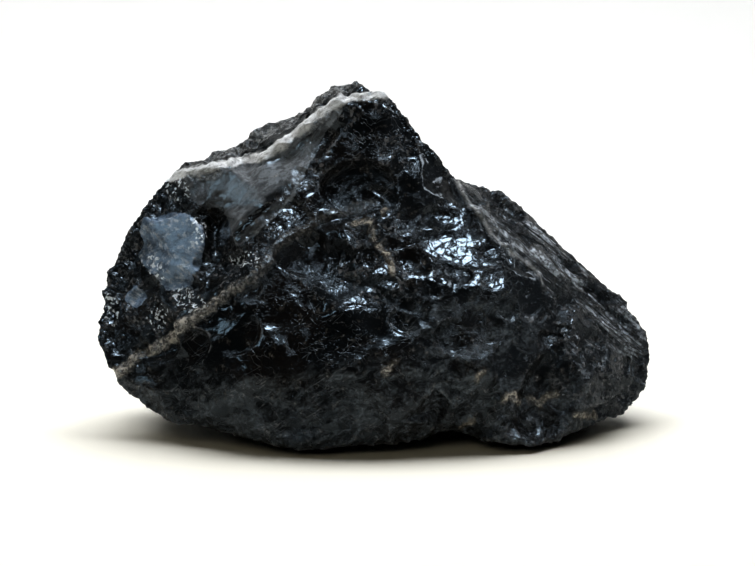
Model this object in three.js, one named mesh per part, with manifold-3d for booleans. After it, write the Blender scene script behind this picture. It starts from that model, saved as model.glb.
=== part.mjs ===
// A hand-sized lump of raw morion, the near-black variety of smoky quartz.
//
// It is one solid piece, broken from a larger mass. A steep front slopes up to a peak left of the middle. A
// seam runs along the crest, a long rib climbs across the lower left, and an arete falls from the peak to the
// right with a grooved flank behind it. The underside is flat enough to stand on.
//
// Millimetres, +Z up, +X across the front, -Y out of the front. The origin is the middle of the bottom of the
// lump's box.

import * as THREE from "three";
import Module from "manifold-3d";

// ------------------------------------------------------------------------------------------ driving sizes

const EYE_DISTANCE = 500; // the net below is measured along sight lines that meet this far in front
const EYE_AXIS = { across: 0.875, up: 41.5 }; // where the middle sight line meets the sight plane
const EYE_LIFT = THREE.MathUtils.degToRad(12); // the sight lines look down on the lump by this angle
const FLOOR_OUT = 18.5; // a point this far out and 0 up touches the surface that the lump rests on
const LONGEST_EDGE = 4.9; // edges of the net are halved until none is longer
const FACET_SIZE = 12; // the usual width of a fracture facet
const FACET_DEPTH = 1.1; // and how deep it dishes
const RIDGE_HALF = 1.7; // the flanks of a sharp line start this far from it
const SEAM_DROP = [3, 0.4]; // and are set back this much, on its left and on its right
const RIB_DROP = [1.4, 1.2];
const ARETE_DROP = [2.4, 0.8];
const LEAST_GAP = 1.2; // other points keep this far from sharp lines and smooth facets
const FRONT_SHOULDER = { inset: 2.4, rise: 1.6 }; // where the surface turns over the outline
const BACK_SHOULDER = { inset: 3, rise: -3.5 };
const PLAIN_RIM = 5; // fracture facets fade out over this distance from the outline
const PLAIN_MARGIN = 2.5; // and over this distance from a smooth facet

// ------------------------------------------------------------------------------------ the net of the lump

// Every point is [across, up, out]: where its sight line crosses the plane through the middle of the lump,
// and how far it stands out of that plane towards the eye.

// The outline, clockwise from the left tip.
const OUTLINE = [
  // left end, a row of small bumps
  [-69.25, 27.25, 1.5], [-69, 31.75, 0], [-67.5, 36.5, -2], [-68.5, 39, -2], [-66.75, 41.5, -4],
  [-67.5, 44.5, -4], [-64.75, 46.75, -5], [-64, 50.5, -5], [-60.5, 56, -7], [-57, 61.5, -8], [-53.5, 66, -9],
  [-50.5, 68.75, -10],
  // rear shoulder, in steps up to the peak
  [-46.75, 71.75, -12], [-42.5, 72.25, -13], [-40.25, 74.25, -14], [-34.5, 75.75, -15], [-32.5, 77, -15],
  [-30.25, 79.75, -16], [-25.5, 81.75, -16], [-19.75, 83.25, -15], [-16.75, 85, -14], [-14.25, 88, -13],
  [-10, 91, -12], [-7, 91, -11], [-4.75, 92.5, -10], [-2.25, 91.25, -8], [-0.25, 89.75, -6],
  // the arete falls from the peak
  [2.5, 89.25, -4.5], [5.5, 86.25, -4], [9, 81.25, -4], [12.75, 76.75, -4], [16.5, 72.75, -5],
  [19, 69.75, -7], [20.5, 68, -9],
  // far edge of the grooved flank
  [24, 66.75, -13], [28, 66.25, -16], [31.5, 65, -18], [34.5, 62.25, -19], [37.75, 59.75, -19],
  [40.5, 57, -19], [45.5, 52.25, -19], [51, 47, -19], [56.5, 42.25, -18], [60.5, 39.25, -17],
  [63.5, 37, -16], [63.75, 35.5, -15],
  // right end
  [66.75, 31.75, -14], [68.5, 28.5, -12], [69.25, 24.25, -11], [69, 19.5, -10], [68, 15.75, -9],
  [66.25, 12.5, -7], [62.75, 8.5, -4], [58.5, 7.5, -1], [54, 5.5, 4], [50.25, 4, 9],
  // foot of the front, with a shallow arch
  [46, 2, 12], [40.25, 0.5, 17], [32.75, 0.75, 17], [28, 1.5, 15], [24.25, 3.25, 12], [20.25, 4.25, 11],
  [16, 3.75, 13], [11.25, 2.25, 15.5], [4, 1.25, 17.5], [-6, 0.5, 18.8], [-13.5, -0.25, 19.8],
  [-20, -0.25, 19.8], [-26.25, 1, 17.5], [-32.25, 2.5, 14.5],
  // underside of the left end, clear of the ground
  [-37.25, 4, 12.5], [-42.5, 5.5, 11], [-48.5, 5.75, 9.5], [-53.5, 8, 7], [-57.25, 10.75, 5.5],
  [-62.25, 14.5, 4], [-65.25, 18, 3.5], [-67.25, 22, 3],
];

// Smooth facets, which keep clear of the fracture relief.
const WINDOW_FACE = [
  [-57, 57, -4.1], [-51.5, 58.75, -2.9], [-46.5, 57.75, -0.7], [-43.25, 55, 1.5], [-42.75, 51.5, 3.1],
  [-44.5, 46, 4.7], [-48.25, 41.75, 5.1], [-52.25, 41.5, 3.8], [-55.5, 45.5, 1], [-59, 50.5, -2.2],
];
const CREST_FACE = [
  [-47, 67.5, -5.5], [-36, 70, -4.5], [-27.5, 71.5, -4], [-20, 76, -3.8], [-13, 82.5, -2.8],
  [-15.5, 76.5, -1.5], [-18, 71, 0], [-22, 65.25, 2.2], [-28, 60.5, 3.8], [-33.5, 56.75, 4],
  [-35.5, 53, 4.5], [-37, 60, -0.5], [-42, 62, -2.5],
];
const DARK_SCOOP = [
  [5.5, 50.5, 9.5], [10.5, 51.25, 8.5], [14.5, 47.5, 9.5], [15.5, 44.5, 12], [12.5, 42.75, 13],
  [7, 43.25, 13.5],
];
const SMALL_SCOOP = [[-4, 51, 12], [3.5, 50.5, 11], [4, 46, 13], [-0.5, 44.5, 14], [-4.5, 45, 14.5]];
const SMALL_WINDOW = [[-62.2, 38, -0.6], [-60, 40.2, -0.9], [-58.4, 38.6, 0.3], [-60, 36.8, 0.8]];
const REAR_SCOOP = [
  [-33, 50, -35], [-24, 55, -35.5], [-14, 53, -35], [-8, 44, -36.5], [-13, 33, -38], [-24, 30, -38],
  [-33, 38, -36],
];
const SMOOTH = [WINDOW_FACE, CREST_FACE, DARK_SCOOP, SMALL_SCOOP, SMALL_WINDOW, REAR_SCOOP];

// Sharp lines.
const CREST_SEAM = [
  [-47, 69.5, -6.5], [-42.5, 70.25, -6], [-36, 71.5, -5.5], [-28.5, 73, -5], [-24, 76, -5],
  [-18.5, 80.25, -5], [-13.5, 84.75, -4.5], [-8.5, 87.5, -4], [-3.5, 88.75, -3.5],
];
const LONG_RIB = [
  [-59.75, 22.75, 6.5], [-54.5, 26.25, 9.5], [-48.5, 30.75, 12], [-42.25, 35, 13.5], [-36.5, 39.5, 14],
  [-30, 43.25, 13.5], [-26.5, 46.75, 12], [-24, 51, 9], [-18.5, 54.75, 7], [-12.25, 58.25, 5.4],
  [-6, 60.5, 4.6], [0, 62.5, 3.8],
];
const ARETE = [
  [22.25, 64.25, -2], [26, 59.25, 1.5], [29.5, 53.75, 4], [33.5, 49.75, 6], [39, 46, 6], [43.5, 41.75, 6],
  [43, 34.5, 9], [43.5, 26, 11.5], [44.25, 18, 13], [45, 9, 13],
];

// The rest of the front, feature by feature.
const FRONT = {
  rearBand: [[-38, 73.5, -11], [-28, 77.5, -11], [-21, 81.25, -12], [-11, 89, -9]],
  hollowBesideWindow: [
    [-41.5, 59, -4], [-39.5, 55, -3], [-39.5, 50.5, -0.5], [-40, 46.5, 2.5], [-37.5, 46, 5],
  ],
  leftEnd: [
    [-62, 46, -3.5], [-62, 42.5, -3], [-57, 41, 1], [-56, 35, 3], [-63, 32, 1], [-52, 36.5, 5],
    [-47.5, 37.5, 7.5], [-41.5, 40.5, 9], [-60, 27.5, 4.5], [-36, 44, 9], [-31.5, 49, 8], [-31, 53.5, 5.8],
    [-26.5, 57, 5.4], [-50, 61, -5], [-54, 61, -7],
  ],
  upperFront: [
    [-7.5, 80, -2], [-1, 84, -2.6], [-10, 72, 0.6], [-3, 72, 1], [5, 79, -1.8], [-13, 65, 2.6],
    [-4, 66, 2.8], [6, 71, 1], [12, 71, -0.6], [5, 64.5, 3], [-20, 60, 4.4], [12, 65, 1.8],
  ],
  brightScoop: [
    [11, 57, 4.5], [14, 60.5, 2.5], [18, 62.5, 1], [22, 61, 0.5], [24, 57.5, 2.2], [19, 58.5, 3],
    [14.5, 56, 4.8], [12.5, 53, 6], [18, 53.5, 5.6], [23.5, 54, 4.2], [28, 52, 4.4], [17.5, 49.5, 7.6],
    [18.5, 46, 9.6], [22, 45.5, 9.8], [25.5, 47, 8.2], [30.5, 48.5, 6.8],
  ],
  brightLedge: [
    [23.5, 43.5, 11.2], [27, 45.25, 9.8], [34, 46, 7.6], [36.5, 43, 8.8], [32.5, 39.5, 11.8],
    [28.5, 38.5, 13.2], [25, 40.5, 12.8],
  ],
  middleChips: [
    [-5, 56.5, 7.4], [1, 58.5, 6], [4, 55.5, 7.4], [1, 47.5, 10.6], [10.5, 47, 9.5], [9, 41, 14],
    [4, 42.5, 13.8], [-8.5, 43, 12.4], [-2, 41, 14], [4, 38, 16], [-7, 36, 16.5], [6.5, 35.5, 16.2],
    [-7, 34, 18], [6.5, 33.5, 17.8], [15, 38.5, 13.8], [12, 36, 15.4],
  ],
  lowerLeft: [
    [-50, 22, 10], [-40, 27, 14], [-28, 31, 16.5], [-18, 44, 11.4], [-28, 38, 13.8], [-18, 32, 16.4],
    [-8, 28, 19.4], [-56, 15, 8], [-44, 15, 13.5], [-32, 18, 18.6], [-20, 20, 21], [-8, 20, 22.2],
    [4, 19, 22], [12, 20, 20.8], [10, 30, 18.5], [-40, 8.5, 14.5], [-28, 7, 19.4], [-16, 6, 21.4],
    [-4, 7, 21.8], [6, 7, 20.8], [-12, 51, 8.8],
  ],
  lowerRight: [
    [20, 38, 14], [38, 36, 10.5], [20, 30, 16.5], [30, 30, 15], [38, 27, 12.8], [20, 20, 18.6],
    [30, 18, 17.8], [38, 17, 15.5], [23, 8.5, 16.5], [29, 8, 18.2], [36, 8, 18.6], [33, 12.5, 18.8],
  ],
  crevice: [[15, 16.5, 19.2], [19.5, 12, 17.8], [18, 6.5, 15.8], [12.5, 6.5, 18.2], [16, 10.5, 13.5]],
  rightEnd: [
    [50, 37, 2], [57, 32, -0.5], [63, 27, -3.5], [50, 28, 8.5], [58, 22, 4.5], [65, 18, -2.5],
    [51, 17, 11], [59, 12, 4.5], [52, 9.5, 10],
  ],
  // grooved along its length
  flank: [
    [25, 62.5, -3], [28.5, 58, -1.5], [32.5, 53, 0.5], [37, 49.5, 1], [41.5, 45.5, 1.5], [46.5, 41, 1],
    [51, 38, -1.5], [56.5, 34.5, -4.5], [27.5, 63, -9], [31, 59.5, -8.5], [35.5, 55, -7.5], [40, 51, -7],
    [44.5, 46.5, -6.5], [49.5, 42, -7], [54.5, 38, -9.5], [59.5, 33.5, -12], [30.5, 63.5, -13],
    [34, 60.3, -13], [38.5, 56, -12.5], [43, 51.5, -12], [47.5, 47.5, -12], [52.5, 43, -12],
    [57.5, 38.5, -13], [62, 34, -14.5],
  ],
  faceMiddles: [[-30, 65.5, 0], [-51, 50, 0.6]],
};

// The back, with the underside.
const BACK = {
  rearSlope: [
    [-44, 66, -20], [-30, 72, -23], [-16, 78, -21], [-6, 82, -18], [4, 79, -15], [12, 70, -16],
    [-54, 57, -18],
  ],
  rearLedge: [
    [-60, 45, -18], [-51, 51, -24], [-38, 58, -30], [-24, 63, -34], [-8, 66, -33], [6, 62, -27],
    [18, 59, -23], [30, 54, -30], [43, 44, -31], [56, 32, -26],
  ],
  scoopFloor: [[-21, 43, -30]],
  rearWall: [
    [-63, 29, -14], [-57, 34, -23], [-44, 40, -32], [-44, 28, -30], [0, 55, -38], [2, 40, -40],
    [10, 52, -29], [15, 38, -38], [26, 44, -27], [28, 34, -38], [41, 32, -36], [54, 21, -27],
    [63, 18, -19],
  ],
  rearSkirt: [
    [-58, 19, -16], [-46, 18, -26], [-28, 20, -36], [-8, 20, -40], [12, 20, -40], [32, 18, -37],
    [50, 13, -25],
  ],
  foot: [
    [-40, 9.6, -28.5], [-27, 10, -31], [-12, 10.2, -32], [2, 10.2, -32], [16, 10.2, -32], [30, 9.8, -30.5],
    [42, 9, -26.5], [52, 7.8, -20.5],
  ],
  underside: [
    [-36, 6.4, -13.5], [-22, 5.4, -9], [-6, 5.4, -9], [12, 5.6, -10], [28, 5.4, -9], [43, 5.4, -9.5],
    [-20, 2.4, 5.5], [-6, 2.4, 5.5], [6, 2.8, 3.5], [36, 2.6, 4.5],
  ],
};

// --------------------------------------------------------------------------------------- points and noise

// A net point in the lump's own frame, before its box is centred.
function place([across, up, out]) {
  const nearer = 1 - out / EYE_DISTANCE;
  const x = EYE_AXIS.across + (across - EYE_AXIS.across) * nearer;
  const rise = EYE_AXIS.up + (up - EYE_AXIS.up) * nearer;
  const y = rise * Math.sin(EYE_LIFT) - out * Math.cos(EYE_LIFT);
  const z = rise * Math.cos(EYE_LIFT) + (out - FLOOR_OUT) * Math.sin(EYE_LIFT);
  return new THREE.Vector3(x, y, z);
}

// How far a net point lies from the nearest side of a closed line, along the net.
function distanceTo(line, [x, y]) {
  return Math.min(
    ...line.map(([ax, ay], i) => {
      const [bx, by] = line[(i + 1) % line.length];
      const along = ((x - ax) * (bx - ax) + (y - ay) * (by - ay)) / ((bx - ax) ** 2 + (by - ay) ** 2);
      const t = Math.min(1, Math.max(0, along));
      return Math.hypot(x - ax - t * (bx - ax), y - ay - t * (by - ay));
    }),
  );
}

function isInside(line, [x, y]) {
  let inside = false;
  line.forEach(([ax, ay], i) => {
    const [bx, by] = line[(i + 1) % line.length];
    if (ay > y !== by > y && x < ((bx - ax) * (y - ay)) / (by - ay) + ax) inside = !inside;
  });
  return inside;
}

// How much fracture relief a net point gets, from 0 to 1.
function roughness(p) {
  const rim = Math.min(1, distanceTo(OUTLINE, p) / PLAIN_RIM);
  const clear = SMOOTH.map((face) => (isInside(face, p) ? 0 : distanceTo(face, p) / PLAIN_MARGIN));
  return Math.min(rim, ...clear);
}

// A repeatable number from 0 to 1 for a whole-numbered cell and a channel.
function chance(i, j, k, channel) {
  let h = Math.imul(i, 374761393) ^ Math.imul(j, 668265263) ^ Math.imul(k, 2147483647);
  h ^= Math.imul(channel, 1274126177);
  h = Math.imul(h ^ (h >>> 13), 1103515245);
  h = Math.imul(h ^ (h >>> 16), 2246822519);
  return ((h ^ (h >>> 15)) >>> 0) / 4294967296;
}

// The height, from about -1 to 1, of a surface broken into shallow dished facets that meet in sharp ridges.
function dishes(p) {
  const cell = [p.x, p.y, p.z].map((v) => Math.floor(v / FACET_SIZE));
  let lowest = Infinity;
  for (let i = cell[0] - 1; i <= cell[0] + 1; i++)
    for (let j = cell[1] - 1; j <= cell[1] + 1; j++)
      for (let k = cell[2] - 1; k <= cell[2] + 1; k++) {
        const r = (channel) => chance(i, j, k, channel);
        const d = p.clone().divideScalar(FACET_SIZE).sub(new THREE.Vector3(i + r(0), j + r(1), k + r(2)));
        const tilt = d.x * (r(3) - 0.5) + d.y * (r(4) - 0.5) + d.z * (r(5) - 0.5);
        lowest = Math.min(lowest, 2.2 * d.lengthSq() + 1.6 * tilt + 0.7 * r(6));
      }
  return lowest - 1;
}

// ----------------------------------------------------------------------------------------------- the mesh

// Delaunay triangles of 2-D points, each a list of three indices.
function delaunay(points) {
  const far = 1000;
  const all = [...points, [-far, -far], [far, -far], [0, far]];
  const n = points.length;
  const circle = (t) => {
    const [a, b, c] = t.map((i) => all[i]);
    const d = 2 * (a[0] * (b[1] - c[1]) + b[0] * (c[1] - a[1]) + c[0] * (a[1] - b[1]));
    const [sa, sb, sc] = [a, b, c].map(([x, y]) => x * x + y * y);
    const x = (sa * (b[1] - c[1]) + sb * (c[1] - a[1]) + sc * (a[1] - b[1])) / d;
    const y = (sa * (c[0] - b[0]) + sb * (a[0] - c[0]) + sc * (b[0] - a[0])) / d;
    return { t, x, y, r2: (a[0] - x) ** 2 + (a[1] - y) ** 2 };
  };
  let found = [circle([n, n + 1, n + 2])];
  points.forEach(([x, y], i) => {
    const hit = found.filter((c) => (c.x - x) ** 2 + (c.y - y) ** 2 < c.r2);
    const rim = new Map();
    for (const { t } of hit)
      for (let e = 0; e < 3; e++) {
        const edge = [t[e], t[(e + 1) % 3]];
        const back = edge[1] + "," + edge[0];
        if (rim.has(back)) rim.delete(back);
        else rim.set(edge.join(), edge);
      }
    found = found.filter((c) => !hit.includes(c));
    for (const [a, b] of rim.values()) found.push(circle([a, b, i]));
  });
  return found.map((c) => c.t).filter((t) => t.every((i) => i < n));
}

// The points of a line shifted sideways by `aside`, to the left of its run, and set back by `drop`.
function beside(line, aside, drop) {
  return line.map(([x, y, out], i) => {
    const [ax, ay] = line[Math.max(0, i - 1)];
    const [bx, by] = line[Math.min(line.length - 1, i + 1)];
    const run = Math.hypot(bx - ax, by - ay);
    return [x - ((by - ay) / run) * aside, y + ((bx - ax) / run) * aside, out - drop];
  });
}

// The given points without those that crowd the ones already taken.
function spaced(points, taken, gap) {
  const far = (p, q) => Math.hypot(p[0] - q[0], p[1] - q[1]) > gap;
  return points.filter((p) => isInside(OUTLINE, p) && taken.every((q) => far(p, q)));
}

// A sharp line with its two flanks.
function ridge(line, [dropLeft, dropRight], taken) {
  const flanks = [...beside(line, RIDGE_HALF, dropLeft), ...beside(line, -RIDGE_HALF, dropRight)];
  return [...line, ...spaced(flanks, [...line, ...taken], LEAST_GAP)];
}

// One side of the lump: its points after the outline's, and its triangles, seen from the eye. The surface
// turns over the outline by way of a row of points at `inset` from it, `rise` nearer to the eye.
function side(features, { inset, rise }) {
  const closed = [...OUTLINE, OUTLINE[0]];
  const shoulder = beside(closed, -inset, -rise).slice(0, -1);
  const inner = [...features, ...spaced(shoulder, features, inset)];
  const points = [...OUTLINE, ...inner];
  const middle = (t) => [0, 1].map((k) => (points[t[0]][k] + points[t[1]][k] + points[t[2]][k]) / 3);
  return { inner, triangles: delaunay(points).filter((t) => isInside(OUTLINE, middle(t))) };
}

// Splits every edge longer than the limit at its middle until none is left.
function refine(points, triangles, limit) {
  for (let long = true; long; ) {
    long = false;
    const middles = new Map();
    const split = (a, b) => {
      if (place(points[a]).distanceTo(place(points[b])) <= limit) return -1;
      const key = Math.min(a, b) + "," + Math.max(a, b);
      if (!middles.has(key)) {
        middles.set(key, points.length);
        points.push(points[a].map((v, k) => (v + points[b][k]) / 2));
      }
      return middles.get(key);
    };
    triangles = triangles.flatMap((t) => {
      const m = t.map((v, e) => split(v, t[(e + 1) % 3]));
      const cuts = m.filter((v) => v >= 0).length;
      if (!cuts) return [t];
      long = true;
      if (cuts === 3) return [[t[0], m[0], m[2]], [t[1], m[1], m[0]], [t[2], m[2], m[1]], m];
      const e = cuts === 1 ? m.findIndex((v) => v >= 0) : m.findIndex((v) => v < 0);
      const [a, b, c] = [t[e], t[(e + 1) % 3], t[(e + 2) % 3]];
      if (cuts === 1) return [[a, m[e], c], [m[e], b, c]];
      const [bc, ca] = [m[(e + 1) % 3], m[(e + 2) % 3]];
      return [[a, b, bc], [a, bc, ca], [ca, bc, c]];
    });
  }
  return triangles;
}

function normals(vertices, triangles) {
  const sum = vertices.map(() => new THREE.Vector3());
  for (const t of triangles) {
    const [a, b, c] = t.map((i) => vertices[i]);
    const n = b.clone().sub(a).cross(c.clone().sub(a));
    t.forEach((i) => sum[i].add(n));
  }
  return sum.map((n) => n.normalize());
}

function lumpMesh() {
  const faces = [...WINDOW_FACE, ...CREST_FACE, ...DARK_SCOOP, ...SMALL_SCOOP, ...SMALL_WINDOW];
  const seam = ridge(CREST_SEAM, SEAM_DROP, faces);
  const rib = ridge(LONG_RIB, RIB_DROP, faces);
  const arete = ridge(ARETE, ARETE_DROP, faces);
  const lines = [...seam, ...rib, ...arete, ...faces];
  const front = side([...lines, ...spaced(Object.values(FRONT).flat(), lines, LEAST_GAP)], FRONT_SHOULDER);
  const back = side([...REAR_SCOOP, ...Object.values(BACK).flat()], BACK_SHOULDER);
  const n = OUTLINE.length;
  const points = [...OUTLINE, ...front.inner, ...back.inner];
  const shift = (i) => (i < n ? i : i + front.inner.length);
  let triangles = [...front.triangles, ...back.triangles.map(([a, b, c]) => [a, c, b].map(shift))];
  triangles = refine(points, triangles, LONGEST_EDGE);
  const plain = points.map(place);
  const out = normals(plain, triangles);
  const vertices = plain.map((v, i) =>
    v.clone().addScaledVector(out[i], FACET_DEPTH * roughness(points[i]) * dishes(v)),
  );
  return { vertices, triangles };
}

// ---------------------------------------------------------------------------------------------- the solid

const wasm = await Module();
wasm.setup();

function solid(vertices, triangles) {
  const vertProperties = new Float32Array(vertices.flatMap((v) => v.toArray()));
  const triVerts = new Uint32Array(triangles.flat());
  return new wasm.Manifold(new wasm.Mesh({ numProp: 3, vertProperties, triVerts }));
}

function geometryOf(manifold) {
  const mesh = manifold.getMesh();
  return new THREE.BufferGeometry()
    .setAttribute("position", new THREE.BufferAttribute(new Float32Array(mesh.vertProperties), 3))
    .setIndex(new THREE.BufferAttribute(new Uint32Array(mesh.triVerts), 1));
}

// The lump stands on a flat face cut where it meets the ground; crumbs that the cut leaves loose are dropped.
const lump = lumpMesh();
const standing = solid(lump.vertices, lump.triangles)
  .trimByPlane([0, 0, 1], 0)
  .decompose()
  .reduce((a, b) => (a.volume() > b.volume() ? a : b));
const geometry = geometryOf(standing);
geometry.computeBoundingBox();
const box = geometry.boundingBox;
geometry.translate(-(box.min.x + box.max.x) / 2, -(box.min.y + box.max.y) / 2, -box.min.z);
geometry.computeVertexNormals();

const morion = new THREE.Mesh(
  geometry,
  new THREE.MeshStandardMaterial({ color: 0x0b0c0e, roughness: 0.18, metalness: 0, flatShading: true }),
);
morion.name = "morion_lump";

const group = new THREE.Group();
group.add(morion);

export default group;
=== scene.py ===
"""A lump of raw morion quartz on a pale sweep: the dressed lump, its finish, the stage and the camera."""

import math

import bmesh
import bpy
from bpy.props import FloatProperty, FloatVectorProperty, IntProperty, PointerProperty
from bpy.types import NodeSocket, Operator, Panel, PropertyGroup
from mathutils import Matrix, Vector


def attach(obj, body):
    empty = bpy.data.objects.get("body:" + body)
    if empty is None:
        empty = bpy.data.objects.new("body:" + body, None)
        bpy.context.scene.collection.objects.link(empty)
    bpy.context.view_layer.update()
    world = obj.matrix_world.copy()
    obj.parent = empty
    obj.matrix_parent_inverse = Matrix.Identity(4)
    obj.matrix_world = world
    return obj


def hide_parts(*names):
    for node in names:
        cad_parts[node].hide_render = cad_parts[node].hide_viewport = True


bl_info = {
    "name": "Raw Morion Lump",
    "version": (1, 0, 0),
    "blender": (4, 5, 0),
    "location": "3D View > Sidebar > Morion",
    "description": "Dresses a lump of raw morion quartz and sets its studio stage",
    "category": "Object",
}

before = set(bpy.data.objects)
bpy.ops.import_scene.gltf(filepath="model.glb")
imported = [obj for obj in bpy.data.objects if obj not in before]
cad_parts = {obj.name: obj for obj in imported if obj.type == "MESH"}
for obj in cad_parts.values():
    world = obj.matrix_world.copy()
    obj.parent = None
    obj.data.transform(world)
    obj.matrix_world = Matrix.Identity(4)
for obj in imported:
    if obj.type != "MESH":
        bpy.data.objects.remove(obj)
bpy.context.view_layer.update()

NODE = "morion_lump"
MM = 0.001

# ------------------------------------------------------------------------------------------- the sight net

# Places on the lump are given as [across, up, out] in millimetres: where a sight line crosses the plane
# through the middle of the lump, and how far the place stands out of that plane towards the eye.
EYE_DISTANCE = 500.0
EYE_ACROSS = 0.875
EYE_UP = 41.5
EYE_LIFT = math.radians(12)
VIEW_WIDTH = 188.75  # what the camera takes in, across that plane
FLOOR_OUT = 18.5
NET_SHIFT = Vector((-0.857, -14.370, 0.0))  # from the net to the middle of the lump's box
SIGHT = Vector((0, -math.cos(EYE_LIFT), math.sin(EYE_LIFT)))


def place(across, up, out):
    """A point of the sight net in the row frame, in metres."""
    nearer = 1 - out / EYE_DISTANCE
    x = EYE_ACROSS + (across - EYE_ACROSS) * nearer
    rise = EYE_UP + (up - EYE_UP) * nearer
    y = rise * math.sin(EYE_LIFT) - out * math.cos(EYE_LIFT)
    z = rise * math.cos(EYE_LIFT) + (out - FLOOR_OUT) * math.sin(EYE_LIFT)
    return (Vector((x, y, z)) + NET_SHIFT) * MM


EYE = place(EYE_ACROSS, EYE_UP, EYE_DISTANCE)

# Strokes and outlines drawn on the lump along the sight lines: across and up in millimetres.
WINDOW = [
    (-57, 57), (-51.5, 58.75), (-46.5, 57.75), (-43.5, 55), (-43, 51.5), (-44.5, 46), (-48.25, 41.75),
    (-52.25, 41.5), (-55.5, 45.5), (-59, 50.5),
]
SMALL_WINDOW = [(-62.2, 38), (-60, 40.2), (-58.4, 38.6), (-60, 36.8)]
CREST_FACE = [
    (-36, 69.5), (-27.5, 71), (-20.5, 76), (-12, 83.5), (-9, 85), (-13, 79), (-15.5, 75), (-17.5, 71),
    (-20, 66), (-24, 60.5), (-30, 55), (-34, 52), (-35.5, 57.5), (-36, 62),
]
OUTLINES = {
    # even faces, which take no scars
    "plain": [
        WINDOW,
        [(-43.5, 66), *CREST_FACE, (-41, 62.5)],
        [(6, 50.5), (10.5, 51), (14, 48), (14.5, 45.5), (12, 43.5), (7, 44)],
        [(-3.5, 50.5), (3, 50), (3.5, 46.5), (-0.5, 45), (-4, 45.5)],
        SMALL_WINDOW,
    ],
    # faces with few scars
    "calm": [
        [(-51, 24.8), (-39.8, 32.8), (-28, 39.8), (-11, 39.8), (6.5, 37.2), (16.5, 32.2), (11.5, 22.2),
         (1.5, 19.2), (-18.5, 18.5), (-38.5, 16), (-51, 14.8), (-58.5, 17.2)],
        [(2, 30), (16, 36), (34, 36), (40, 24), (36, 12), (20, 6), (4, 10)],
        [(-7.2, 84.8), (2.8, 86), (6.5, 79.8), (14, 71), (19, 64.8), (14, 61), (6.5, 62.2), (2.8, 64.8),
         (-7.2, 61), (-14.8, 62.2), (-11, 72.2)],
        [(-42, 60), (-36, 60), (-36, 50), (-42, 48)],
    ],
    # the frosted window, whose blue-grey tone with its lighter streaks is painted reflection of the side
    # light
    "window": [WINDOW, SMALL_WINDOW],
    # the frosted face under the crest, whose grey-blue tone is partly painted reflection of the room's light
    "crest": [[(-49, 67), *CREST_FACE, (-42, 61)]],
    # the dark strip at the foot of that face
    "foot": [[(-20.5, 66), (-24, 60.5), (-30, 55), (-34, 52), (-35, 54.5), (-28.5, 60.5), (-22, 66.5)]],
    # crazed faces that throw the key light
    "crazed": [
        [(11, 53.5), (17, 60.5), (24.5, 61.5), (30, 53), (34, 47), (35, 40), (28, 39), (22, 45), (14, 48)],
        [(-6, 44), (4, 45), (6, 39), (-4, 36)],
        [(-35, 45), (-27, 46), (-24, 40), (-34, 40)],
    ],
    # the striated flank, whose pale streaks are partly painted reflection of the backdrop
    "flank": [
        [(20.5, 68), (23, 67), (26, 63), (29, 58.5), (33, 56), (39, 55.5), (46, 51.5), (60, 40.5), (67, 28),
         (66, 22), (58, 28), (52, 36), (44, 41.5), (39.5, 46), (34, 49.7), (30, 53.7), (26, 59.5)],
    ],
    # patches of crushed white spots, partly painted glints
    "sparks": [
        [(-50.5, 40.2), (-48, 40.8), (-46, 38.5), (-42.8, 36), (-43.5, 34.2), (-46.5, 35.2), (-49, 37.2)],
        [(-56.5, 32.8), (-54.5, 35.8), (-53, 34.8), (-55.5, 30.8)],
        [(-44.5, 56.8), (-42.5, 55.8), (-43.5, 52.2), (-44.8, 54.2)],
        [(-58.5, 49.8), (-55.5, 47.8), (-53.8, 44.5), (-56, 45.5)],
        [(-52.2, 67.2), (-48.5, 67.8), (-47, 64.2), (-49.5, 62.8), (-51.5, 64.8)],
        [(-35, 48.5), (-31, 49.2), (-28.5, 47), (-33, 46.5)],
        [(-67, 38.5), (-65.5, 36.5), (-66, 32), (-67.5, 33)],
    ],
    # places where small chips crowd
    "chips": [
        [(-9, 87), (-5.5, 84), (-8.5, 80), (-11, 75), (-14, 69), (-18.5, 66), (-20.5, 68), (-17, 72),
         (-15.5, 77), (-12, 83)],
        [(-39, 50), (-28, 50), (-28, 42), (-39, 42)],
        [(-24, 61), (-19, 63.5), (-19, 53.5), (-25.5, 54)],
        [(-52, 67), (-45, 66), (-46, 61), (-53.5, 60), (-56, 62)],
        [(-6, 61), (6, 60), (7, 44), (2, 43), (-6, 50)],
        [(3, 77), (10, 76), (9, 71), (3, 72)],
        [(1.5, 89.5), (6, 89), (5, 86), (1, 86.5)],
        [(-67, 50), (-60, 52), (-56, 32), (-66, 30)],
        [(-58, 40), (-43.5, 40), (-43.5, 30), (-58, 30)],
        [(-8, 43.5), (9, 43.5), (9, 36), (-8, 37)],
        [(46, 37), (66, 33), (69, 20), (60, 10), (46, 14)],
        [(25, 64), (36, 62), (37, 56), (29, 58)],
    ],
    # clouded stone, partly a painted reflection of the floor on the faces that turn down
    "cloud": [
        [(-18, 16), (10, 20), (40, 14), (50, 13), (46, 4), (20, 2), (0, 2), (-20, 4)],
        [(12, 31), (20, 34), (32, 34), (38, 29), (32, 24), (16, 25)],
        [(-60, 17), (-43.5, 16), (-18.5, 12), (-8.5, 2.2), (-18.5, -2.8), (-36, 2.2), (-51, 7.2)],
    ],
}
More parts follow.
